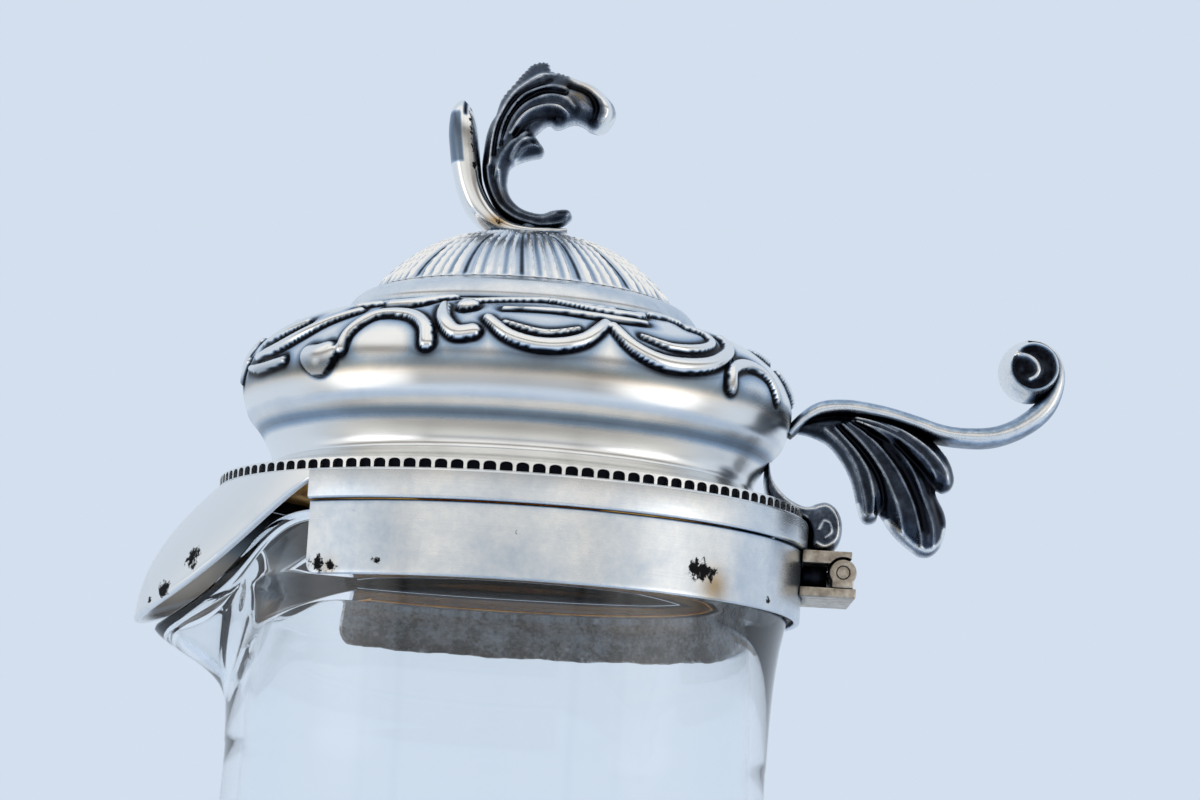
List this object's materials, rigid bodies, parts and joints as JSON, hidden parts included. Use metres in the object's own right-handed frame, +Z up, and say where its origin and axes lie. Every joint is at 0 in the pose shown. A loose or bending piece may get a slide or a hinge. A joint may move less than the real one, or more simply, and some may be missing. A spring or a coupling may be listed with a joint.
{
  "type": "claret jug",
  "caption": "Clear glass jug with a bell-shaped neck, a silver collar and a hinged silver lid that carries a hood over the spout, a thumb lever and a leaf finial.",
  "frame": {"origin": "centre of the glass foot's flat underside", "axes": "+Z up; the spout points to -X and the hinge, thumb lever and handle to +X; +Y across the jug"},
  "size_m": [0.1495, 0.12, 0.2954],
  "materials": {
    "clear_glass": "clear blown glass, fire polished",
    "bedding": "mottled grey plaster bedding",
    "satin_silver": "satin silver with fine turned lines",
    "lid_silver": "satin silver with oxidised recesses",
    "fluted_silver": "silver with dark flutes",
    "bright_silver": "polished silver",
    "cast_silver": "cast silver, darkened in the recesses",
    "oxidised_silver": "oxidised silver with bright edges",
    "dark_leaf": "black oxidised silver with bright ribs",
    "worn_silver": "worn silver with tarnish",
    "hinge_pin": "drawn wire, tarnished",
    "gilt": "gilt, dulled"
  },
  "bodies": {
    "jug": {"glass_body": "clear_glass", "glass_handle": "clear_glass", "cement_bed": "bedding", "neck_collar": "satin_silver", "mouth_ring": "gilt", "collar_hinge_leaf": "worn_silver", "side_knuckles": "worn_silver", "hinge_pin": "hinge_pin"},
    "lid": {"lid_shell": "lid_silver", "collet_band": "satin_silver", "fluted_dome": "fluted_silver", "rim_band": "satin_silver", "gallery_border": "oxidised_silver", "spout_hood": "satin_silver", "lid_hinge_leaf": "worn_silver", "center_knuckle": "worn_silver", "hinge_scroll": "oxidised_silver", "thumb_arm": "cast_silver", "thumb_roll": "cast_silver", "thumb_leaf": "dark_leaf", "finial_strap": "bright_silver", "finial_leaf": "dark_leaf", "finial_stud": "hinge_pin", "finial_nut": "gilt"}
  },
  "joints": [
    {"name": "lid_hinge", "type": "hinge", "parent": "jug", "child": "lid", "pos_m": [0.0474, 0, 0.2249], "axis": [0, 1, 0], "range_deg": [0, 90]}
  ]
}
